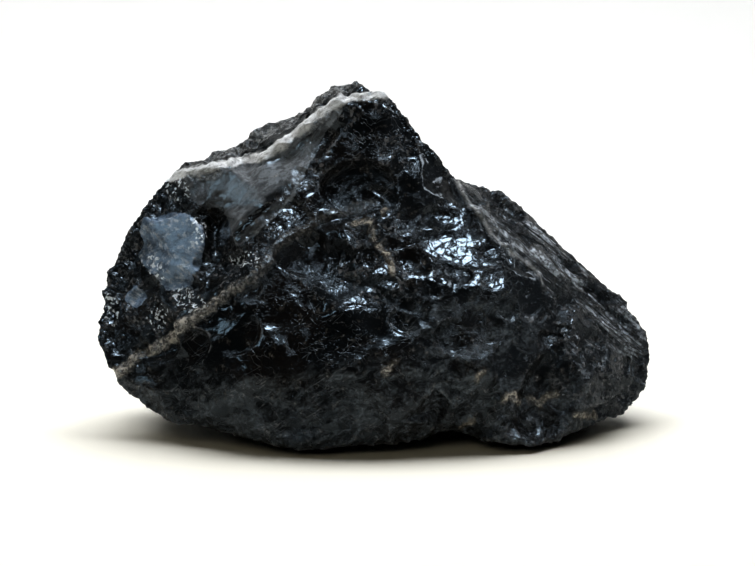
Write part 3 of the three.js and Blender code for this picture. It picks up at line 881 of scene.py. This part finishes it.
class MorionFinish:
    """The stone's material, in parts that share marks: shares from 0 to 1 of what lies at each place."""

    def __init__(self, look):
        self.material = bpy.data.materials.new("morion")
        self.material.use_nodes = True
        self.tree = self.material.node_tree
        self.shader = self.tree.nodes["Principled BSDF"].inputs
        self.mm = scaled(add(self.tree, "ShaderNodeTexCoord").outputs["Object"], 1 / MM)
        self.plates = plates_shader_group()
        self.torn = minus(self.noise(0.45, 5.0, 0.7), 0.5)
        self.mottle = self.noise(0.85, 5.0, 0.7)
        self.draw_marks()
        self.paint(look)
        self.polish(look)
        self.emboss()

    # what the parts are made of

    def mark(self, name):
        """A mark as it is stored on the lump."""
        return add(self.tree, "ShaderNodeAttribute", attribute_name=name).outputs["Fac"]

    def ragged(self, name, amount, low=0.35, high=0.6):
        """A mark with a torn rim."""
        return ramp(total(self.mark(name), times(self.torn, amount)), low, high)

    def noise(self, scale, detail=4.0, rough=0.55, vector=None):
        return clouds(self.mm if vector is None else vector, scale, detail, rough)

    def streaks(self, angle, long, wide, deep=None):
        """Places drawn out along lines that rise to the right at an angle."""
        return add(
            self.tree, "ShaderNodeMapping",
            {
                "Vector": self.mm, "Rotation": (0, math.radians(-angle), 0),
                "Scale": (long, deep or wide, wide),
            },
            vector_type="TEXTURE",
        ).outputs[0]

    def streaked(self, angle, long, wide, deep=None, detail=5.0, rough=0.55):
        return self.noise(1.0, detail, rough, self.streaks(angle, long, wide, deep))

    def hairlines(self, angle, long, wide, width):
        line = maths("ABSOLUTE", minus(self.streaked(angle, long, wide, detail=3.0), 0.5))
        return ramp(line, 0.0, width, 1.0, 0.0)

    def broken_plates(self, size, tilt, drift):
        inputs = {"Vector": self.mm, "Size": size, "Tilt": tilt, "Wander": drift}
        return add(self.tree, "ShaderNodeGroup", inputs, node_tree=self.plates).outputs

    # the parts

    def draw_marks(self):
        """What lies where. The fine pattern of each mark is uneven, so that none ends in a clean line."""
        mark, ragged, noise, streaked, mottle = self.mark, self.ragged, self.noise, self.streaked, self.mottle
        across = parted(self.mm)[0]
        self.swirl = clouds(self.streaks(12, 1.6, 1.0), 0.4, 5.0, 0.65, 0.8)
        self.small = self.broken_plates(0.7, 0.6, 0.9)
        chance = self.small["Chance"]
        softly = maths("POWER", ramp(chance, 0.2, 0.9, 0.15, 1.0), 0.5)
        # Clouded stone whose grey is partly a painted reflection of the floor on the lower faces; stronger
        # towards the right.
        self.cloud = times(
            mark("cloud"), ramp(self.swirl, 0.4, 0.66), softly, ramp(across, -20.0, 0.0, 0.6, 1.0)
        )
        self.striae = streaked(-40, 26, 1.3, 9.0, rough=0.65)
        self.blotched = ramp(mottle, 0.42, 0.56, 0.2, 1.0)
        # The flank's pale bluish streaks are partly painted reflection of the white backdrop seen at a
        # grazing angle.
        self.flank = times(
            mark("flank"), ramp(self.striae, 0.47, 0.56), self.blotched,
            ramp(streaked(-42, 16, 4.0, 9.0, detail=3.0), 0.42, 0.56, 0.12, 1.0),
        )
        self.hair = times(
            most(self.hairlines(36, 30, 4.0, 0.006), self.hairlines(-38, 22, 4.5, 0.005)),
            most(mark("calm"), mark("cloud")), ramp(noise(0.15), 0.42, 0.58),
        )
        self.crust = times(ragged("crust", 1.0, 0.2, 0.6), softly, ramp(mottle, 0.38, 0.6, 0.2, 1.0))
        self.chipped = times(mark("chips"), ramp(noise(0.3, 4.0, 0.65), 0.44, 0.58))
        self.crumbs = times(self.chipped, ramp(chance, 0.6, 0.85), ramp(mottle, 0.4, 0.55, 0.3, 1.0))
        # The window's blue-grey and its lighter streaks are painted reflection of the side light on a frosted
        # face.
        self.window = times(ragged("window", 1.5), ramp(noise(0.3, 5.0, 0.7), 0.34, 0.66, 0.4, 1.0))
        self.bright = times(self.window, ramp(streaked(-35, 5, 1.3, rough=0.7), 0.5, 0.64))
        # The crest face's grey-blue is partly painted reflection, weaker towards its left end, along its foot
        # and in the groove.
        self.crest = times(
            ragged("crest", 1.3), ramp(streaked(50, 14, 1.4), 0.3, 0.7, 0.5, 1.0),
            ramp(across, -42.0, -28.0, 0.5, 1.0), ramp(mark("groove"), 0.1, 0.6, 1.0, 0.1),
            ramp(mark("foot"), 0.3, 0.8, 1.0, 0.4), ramp(mottle, 0.36, 0.52, 0.6, 1.0),
        )
        self.seam = times(
            ragged("seam", 1.5, ramp(across, -36.0, -20.0, 0.2, 0.1), 0.95),
            ramp(streaked(34, 7, 0.9, rough=0.7), 0.35, 0.55, 0.45, 0.9),
            ramp(mottle, 0.34, 0.5, 0.75, 1.0),
        )
        self.rib = times(
            ragged("rib", 1.7, 0.15, 0.8), ramp(mottle, 0.38, 0.57, 0.2, 1.0),
            ramp(across, -55.0, -20.0, 1.0, 0.15), softly,
        )
        self.arete = times(mark("arete"), ramp(mottle, 0.3, 0.5))
        self.vein = times(ragged("vein", 2.2, 0.4, 0.9), ramp(mottle, 0.42, 0.56, 0.1, 1.0), softly)
        # Crushed white spots, partly painted glints: the bluish white stands in for chips that catch the
        # light.
        self.sparks = times(ragged("sparks", 1.8), ramp(chance, 0.6, 0.76), ramp(mottle, 0.44, 0.51))
        self.stain = times(ragged("vein", 1.6, 0.05, 0.6), ramp(self.swirl, 0.36, 0.6, 0.3, 1.0), 0.5)
        self.edge = times(ramp(mark("edge"), 0.03, 0.16), ramp(noise(0.7, 5.0), 0.46, 0.66))

    def paint(self, look):
        """Base colour: coats one over another, each with its share."""
        colour = opaque(look.body_colour)
        for share, coat in (
            (ramp(self.noise(0.07), 0.45, 0.62), look.smoke_colour),
            (self.cloud, look.cloud_and_floor_reflection_colour),
            (self.flank, look.flank_streak_and_reflection_colour),
            (times(self.hair, 0.5), look.worn_colour),
            (times(self.crust, 0.55), look.crust_colour),
            (times(self.crumbs, 0.8), look.worn_colour),
            # the frost colour is painted reflection of the side light, and half the bruise colour over its
            # streaks a painted sheen
            (self.window, look.frost_and_reflection_colour),
            (times(self.bright, 0.5), look.bruise_and_sheen_colour),
            (self.crest, look.crest_frost_and_reflection_colour),
            (self.stain, look.earth_colour),
            (times(self.edge, 0.5), look.worn_colour),
            (times(self.arete, 0.6), look.bruise_and_sheen_colour),
            (self.sparks, look.spark_and_glint_colour),
            (self.rib, look.rib_colour),
            (self.vein, look.vein_colour),
            (self.seam, look.bruise_and_sheen_colour),
        ):
            colour = mixed(share, colour, opaque(coat))
        feed(colour, self.shader["Base Color"])

    def polish(self, look):
        """Gloss: glassy on fresh facets, dull where the stone is frosted, clouded or crushed."""
        crushed = most(self.seam, self.rib, self.vein, times(self.edge, 0.4))
        rough = most(
            ramp(self.noise(0.3, 5.0), 0.4, 0.7, look.gloss, look.gloss + 0.07),
            times(most(self.window, self.crest), 0.4), times(self.cloud, 0.3), times(self.crust, 0.5),
            times(crushed, 0.65),
        )
        feed(rough, self.shader["Roughness"])
        self.shader["IOR"].default_value = look.ior
        self.shader["Specular Tint"].default_value = opaque(look.gloss_tint)

    def emboss(self):
        """Relief too fine for the mesh, in millimetres."""
        mark, noise, small, mottle = self.mark, self.noise, self.small["Height"], self.mottle
        lively = without(times(mark("calm"), 0.85))
        patches = times(ramp(noise(0.13, 3.0), 0.45, 0.62), lively)
        crazed = mark("crazed")
        even = without(times(crazed, 0.6))
        bare = without(mark("plain"))
        coarse = self.broken_plates(2.0, 0.2, 0.6)["Height"]
        fine = self.broken_plates(0.8, 0.25, 0.6)["Height"]
        spot = vectors("ADD", self.mm, scaled((3.0, 3.0, 3.0), self.torn))
        cracks = add(
            self.tree, "ShaderNodeTexVoronoi", {"Vector": spot, "Scale": 0.5}, feature="DISTANCE_TO_EDGE"
        ).outputs["Distance"]
        flake = add(self.tree, "ShaderNodeAttribute", attribute_name="flake").outputs["Vector"]
        inputs = {"Flake": flake, "Ripple": 0.006, "Hackle": 0.05}
        marks = add(self.tree, "ShaderNodeGroup", inputs, node_tree=flake_shader_group()).outputs
        height = total(
            times(coarse, most(times(patches, bare, even, 0.5), times(crazed, 0.22))),
            times(fine, most(times(patches, bare, even, 0.6), times(crazed, 0.18))),
            times(ramp(cracks, 0.0, 0.07, -1.0, 0.0), crazed, 0.12),
            times(small, most(times(self.chipped, lively), mark("crust"))),
            times(coarse, bare, lively, even, 0.25),
            times(fine, bare, lively, even, 0.3),
            times(marks["Height"], bare, ramp(mark("cloud"), 0.0, 1.0, 1.0, 2.0)),
            times(noise(0.45, 3.0), even, 0.12),
            times(self.swirl, mark("cloud"), 0.22),
            times(mottle, mark("crust"), 0.35),
            times(noise(3.0, 4.0, 0.6), 0.012),
            times(mottle, most(times(self.seam, 0.3), self.rib, self.vein), 0.45),
            times(self.striae, mark("flank"), self.blotched, 0.8),
            times(noise(1.2, 3.0), most(self.window, self.crest), 0.05),
            times(self.hair, 0.03),
        )
        bump = add(self.tree, "ShaderNodeBump", {"Height": height, "Strength": 1.0, "Distance": MM})
        feed(bump.outputs["Normal"], self.shader["Normal"])


# -------------------------------------------------------------------------------------------- the settings


def colour_setting(name, description, default):
    return FloatVectorProperty(
        name=name, description=description, default=default, subtype="COLOR", min=0, max=1
    )


def power_setting(name, description, default):
    return FloatProperty(name=name, description=description, default=default, unit="POWER")


class MorionLook(PropertyGroup):
    """Sizes and colours of the lump."""

    grain: FloatProperty(
        name="Grain", description="Edge of the cells that the lump is remeshed in", default=0.0004,
        min=0.0003, max=0.005, unit="LENGTH", precision=5,
    )
    most_triangles: IntProperty(
        name="Most triangles", description="Triangles that the lump is thinned to", default=192000,
    )
    crease: FloatProperty(
        name="Crease", description="Least angle that is shaded as a sharp edge", default=math.radians(27),
        subtype="ANGLE",
    )
    ior: FloatProperty(name="IOR", description="Refractive index of quartz", default=1.54)
    gloss: FloatProperty(
        name="Gloss", description="Roughness of a fresh facet", default=0.05, min=0, max=1, subtype="FACTOR",
    )
    gloss_tint: colour_setting("Gloss tint", "Tint of what the facets reflect", (0.78, 0.9, 1.0))
    body_colour: colour_setting("Body colour", "Colour deep in the stone", (0.0030, 0.0040, 0.0046))
    smoke_colour: colour_setting("Smoke colour", "Brown cast in the stone", (0.0085, 0.0062, 0.0045))
    # Partly painted reflection: this grey stands in for the floor that the lower faces reflect.
    cloud_and_floor_reflection_colour: colour_setting("Cloud colour", "Colour of clouded stone", (0.13, 0.15, 0.17))
    # Partly painted reflection: the streaks' pale tone stands in for the backdrop that the flank reflects.
    flank_streak_and_reflection_colour: colour_setting("Flank colour", "Colour of the flank's streaks", (0.70, 0.77, 0.86))
    crust_colour: colour_setting("Crust colour", "Colour of crusted rims", (0.7, 0.72, 0.74))
    # Painted reflection: the window's blue-grey stands in for the side light that the face throws to the eye.
    frost_and_reflection_colour: colour_setting("Frost colour", "Colour of the frosted window", (0.24, 0.33, 0.46))
    # Partly painted reflection: the face's grey-blue stands in for the room's light it reflects, as well as
    # for its frost.
    crest_frost_and_reflection_colour: colour_setting(
        "Crest colour", "Colour of the frosted face under the crest", (0.25, 0.272, 0.30)
    )
    # Partly painted glints: bluish white for chips that catch the light.
    spark_and_glint_colour: colour_setting("Spark colour", "Colour of crushed bright spots", (0.85, 0.92, 1.0))
    worn_colour: colour_setting("Worn colour", "Colour of worn edges", (0.25, 0.25, 0.26))
    rib_colour: colour_setting("Rib colour", "Colour of the long rib", (0.72, 0.68, 0.62))
    vein_colour: colour_setting("Vein colour", "Colour of the beige veins", (0.80, 0.74, 0.64))
    earth_colour: colour_setting(
        "Earth colour", "Colour of the brown stain round the veins", (0.21, 0.18, 0.14)
    )
    # Also laid thinly over the window's streaks as a painted sheen.
    bruise_and_sheen_colour: colour_setting("Bruise colour", "Colour of the crushed seam", (0.92, 0.94, 0.97))


class MorionStage(PropertyGroup):
    """Strengths and colours of the stage."""

    key_power: power_setting("Key power", "Power of the box overhead", 7.7)
    halo_power: power_setting("Halo power", "Power of the soft rim round that box", 1.3)
    right_power: power_setting("Right power", "Power of the box to the right", 2.2)
    side_power: power_setting("Side power", "Power of the box to the left", 0.9)
    fill_power: power_setting("Fill power", "Power of the ceiling", 17.3)
    front_power: power_setting("Front power", "Power of the front fill", 1.8)
    right_level: FloatProperty(
        name="Right level", description="Brightness of the room to the right", default=0.35,
    )
    top_level: FloatProperty(
        name="Top level", description="Brightness of the room overhead", default=0.6,
    )
    # Painted shade: darker than the floor, for the light falling off up the backdrop.
    wall_shade_colour: colour_setting(
        "Wall colour", "Colour of the sweep behind the lump", (0.72, 0.727, 0.73)
    )
    sweep_colour: colour_setting("Sweep colour", "Colour of the floor", (0.92, 0.913, 0.86))


# ------------------------------------------------------------------------------------------- the operators


class MORION_OT_lump(Operator):
    """Dress the lump: fracture relief, raised seams and the stone's finish"""

    bl_idname = "morion.lump"
    bl_label = "Dress Lump"

    def execute(self, context):
        look = context.scene.morion_look
        lump = self.welded(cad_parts[NODE])
        kept = keep_guide(lump)
        apply_modifier(lump, "REMESH", mode="VOXEL", voxel_size=look.grain)
        apply_modifier(lump, "SMOOTH", iterations=1)
        self.mark_out(lump, kept)
        edges = edge_group()
        self.break_surface(lump, edges)
        apply_group(lump, crumble_group(), **CRUMBLE)
        raising = raise_group()
        for name, height in RAISED.items():
            apply_group(lump, raising, Name=name, Height=height, Grain=RAISED_GRAIN)
        apply_group(lump, land_group())
        apply_group(lump, edges, Reach=LAST_EDGES)

        triangles = sum(len(face.vertices) - 2 for face in lump.data.polygons)
        if not triangles:
            raise RuntimeError("nothing is left of the lump")
        apply_modifier(lump, "DECIMATE", ratio=min(1.0, look.most_triangles / triangles))
        bpy.ops.object.shade_smooth_by_angle(angle=look.crease)
        lump.data.materials.clear()
        lump.data.materials.append(MorionFinish(look).material)
        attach(lump, "root")
        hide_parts(NODE)
        return {"FINISHED"}

    @staticmethod
    def welded(solid):
        """A copy of the solid whose faces share their corners."""
        lump = bpy.data.objects.new("raw_morion", solid.data.copy())
        bpy.context.scene.collection.objects.link(lump)
        select_only(lump)
        bpy.ops.object.mode_set(mode="EDIT")
        bpy.ops.mesh.select_all(action="SELECT")
        bpy.ops.mesh.remove_doubles(threshold=WELD)
        bpy.ops.object.mode_set(mode="OBJECT")
        return lump

    @staticmethod
    def mark_out(lump, kept):
        """Stores the marks that the shaping and the finish go by."""
        nearness = nearness_group()
        mark_near(lump, nearness, kept, "keep", KEEP_WIDTHS)
        for name, lines in OUTLINES.items():
            mark_near(lump, nearness, outline_guide(lines), name, OUTLINE_WIDTHS[name], filled=True)
        for name, lines in STROKES.items():
            mark_near(lump, nearness, stroke_guide(lump, lines), name, STROKE_WIDTHS[name])

    @staticmethod
    def break_surface(lump, edges):
        """Swells the lump, and carves the scattered scars and then the placed ones."""
        drifting, carve = warp_group(), carve_group()
        scars = scattered_scars_group(scatter_group(), carve)
        apply_group(lump, swell_group())
        apply_group(lump, edges, Reach=FIRST_EDGES)
        for seed, (density, least, most_wide, hollow, lean, on_edges, patchy, drift) in enumerate(SCARS, 1):
            apply_group(lump, drifting, Size=(least + most_wide) * MM, Amount=drift * MM)
            apply_group(
                lump, scars, Density=density, Hollow=hollow, Lean=lean, Patchy=patchy, Seed=seed,
                **{"Least width": least * MM, "Most width": most_wide * MM, "On edges": on_edges},
            )
            apply_group(lump, edges, Reach=ROUND_EDGES)
        helper = placed_scars(lump)
        apply_group(lump, placed_scars_group(carve), Scars=helper)
        bpy.data.objects.remove(helper)


MIDDLE = (0.0, 0.0, 0.04)  # about the middle of the lump, in metres
ROOM_TINT = (0.88, 0.94, 1.0)
DARK_LEVEL = 0.06  # brightness of the room in front and to the left
SENSOR = 36.0
VIEW_GAMMA = 0.75
# The sweep, in metres: how far the floor runs to the front, back and each side, its bend, and the wall's top.
SWEEP_FRONT, SWEEP_BACK, SWEEP_HALF = -1.6, 0.35, 1.3
BEND_RADIUS, BEND_STEPS, WALL_TOP = 0.3, 16, 1.1


def aimed(turn, height, distance):
    """A place round the lump's middle: degrees right of the front, degrees up, and metres away."""
    turn, height = math.radians(turn), math.radians(height)
    level = distance * math.cos(height)
    return (level * math.sin(turn), -level * math.cos(turn), MIDDLE[2] + distance * math.sin(height))


def soft_box(name, at, width, height, power, tint, in_gloss):
    """A box of light that shows only in the gloss, or one that only lights."""
    data = bpy.data.lights.new(name, "AREA")
    data.shape = "RECTANGLE"
    data.size = width
    data.size_y = height
    data.energy = power
    data.color = tint
    light = bpy.data.objects.new(name, data)
    bpy.context.scene.collection.objects.link(light)
    light.location = at
    light.rotation_euler = (Vector(at) - Vector(MIDDLE)).to_track_quat("Z", "Y").to_euler()
    light.visible_diffuse = not in_gloss
    light.visible_glossy = in_gloss


class MORION_OT_stage(Operator):
    """Set the pale sweep, the soft boxes and the camera"""

    bl_idname = "morion.stage"
    bl_label = "Set Stage"

    def execute(self, context):
        scene, stage = context.scene, context.scene.morion_stage
        self.sweep(stage)
        for box in (
            ("key", aimed(40, 79, 0.9), 0.3, 0.3, stage.key_power, (0.86, 0.93, 1.0), True),
            ("halo", aimed(40, 79, 0.95), 0.6, 0.6, stage.halo_power, (0.8, 0.92, 1.0), True),
            ("right", aimed(105, 40, 0.9), 0.3, 0.3, stage.right_power, (0.95, 0.97, 1.0), True),
            ("side", aimed(-66, 45, 0.9), 0.22, 0.22, stage.side_power, (0.72, 0.9, 1.0), True),
            ("ceiling", (-0.03, 0.385, 0.95), 1.4, 0.5, stage.fill_power, (1.0, 1.0, 1.0), False),
            ("front", (-0.5, -0.7, 0.9), 0.9, 0.9, stage.front_power, (1.0, 0.9, 0.66), False),
        ):
            soft_box(*box)
        scene.world = self.room(stage)
        scene.world.cycles_visibility.diffuse = False
        scene.view_settings.view_transform = "Standard"
        scene.view_settings.gamma = VIEW_GAMMA

        camera = bpy.data.objects.new("camera", bpy.data.cameras.new("camera"))
        scene.collection.objects.link(camera)
        camera.location = EYE
        camera.rotation_euler = (math.radians(90) - EYE_LIFT, 0, 0)
        camera.data.sensor_width = SENSOR
        camera.data.lens = SENSOR * EYE_DISTANCE / VIEW_WIDTH
        scene.camera = camera
        return {"FINISHED"}

    @staticmethod
    def room(stage):
        """The room round the stage: dark in front, lighter to the right and overhead."""
        world = bpy.data.worlds.new("room")
        world.use_nodes = True
        background = world.node_tree.nodes["Background"].inputs
        background["Color"].default_value = opaque(ROOM_TINT)
        x, _, z = parted(add(world.node_tree, "ShaderNodeTexCoord").outputs["Generated"])
        to_right = ramp(x, 0.0, 0.9, DARK_LEVEL, stage.right_level)
        feed(total(to_right, ramp(z, 0.86, 0.98, 0.0, stage.top_level)), background["Strength"])
        return world

    @staticmethod
    def sweep(stage):
        """The floor, which bends up into a wall behind the lump."""
        bpy.ops.object.select_all(action="DESELECT")
        bpy.ops.mesh.primitive_plane_add(size=1, location=(0, (SWEEP_FRONT + SWEEP_BACK) / 2, 0))
        floor = bpy.context.object
        floor.name = "sweep"
        floor.scale = (2 * SWEEP_HALF, SWEEP_BACK - SWEEP_FRONT, 1)
        bpy.ops.object.transform_apply(location=True, rotation=True, scale=True)
        bpy.ops.object.mode_set(mode="EDIT")
        bpy.ops.mesh.select_all(action="DESELECT")
        shape = bmesh.from_edit_mesh(floor.data)
        for edge in shape.edges:
            edge.select_set(all(vertex.co.y > 0 for vertex in edge.verts))
        bmesh.update_edit_mesh(floor.data)
        bpy.ops.mesh.spin(
            steps=BEND_STEPS, angle=-math.pi / 2, center=(0, SWEEP_BACK, BEND_RADIUS), axis=(1, 0, 0)
        )
        bpy.ops.mesh.extrude_region_move(TRANSFORM_OT_translate={"value": (0, 0, WALL_TOP - BEND_RADIUS)})
        bpy.ops.object.mode_set(mode="OBJECT")
        floor.data.shade_smooth()

        material = bpy.data.materials.new("sweep")
        material.use_nodes = True
        tree = material.node_tree
        shader = tree.nodes["Principled BSDF"].inputs
        y = parted(add(tree, "ShaderNodeTexCoord").outputs["Object"])[1]
        # Painted shade: the wall is darker than the floor to stand in for the light falling off up the
        # backdrop.
        tone = mixed(ramp(y, -0.05, 0.3), opaque(stage.sweep_colour), opaque(stage.wall_shade_colour))
        feed(tone, shader["Base Color"])
        shader["Roughness"].default_value = 0.9
        shader["Specular IOR Level"].default_value = 0.0
        floor.data.materials.append(material)


class MORION_PT_panel(Panel):
    """The lump's and the stage's settings and operators"""

    bl_idname = "MORION_PT_panel"
    bl_label = "Raw Morion"
    bl_space_type = "VIEW_3D"
    bl_region_type = "UI"
    bl_category = "Morion"

    def draw(self, context):
        for settings, operator in (
            (context.scene.morion_look, MORION_OT_lump),
            (context.scene.morion_stage, MORION_OT_stage),
        ):
            column = self.layout.column()
            for name in settings.__annotations__:
                column.prop(settings, name)
            column.operator(operator.bl_idname)


CLASSES = (MorionLook, MorionStage, MORION_OT_lump, MORION_OT_stage, MORION_PT_panel)


def register():
    for kind in CLASSES:
        bpy.utils.register_class(kind)
    bpy.types.Scene.morion_look = PointerProperty(type=MorionLook)
    bpy.types.Scene.morion_stage = PointerProperty(type=MorionStage)


def unregister():
    del bpy.types.Scene.morion_stage
    del bpy.types.Scene.morion_look
    for kind in reversed(CLASSES):
        bpy.utils.unregister_class(kind)


def main():
    register()
    bpy.ops.morion.lump()
    bpy.ops.morion.stage()


if __name__ == "__main__":
    main()
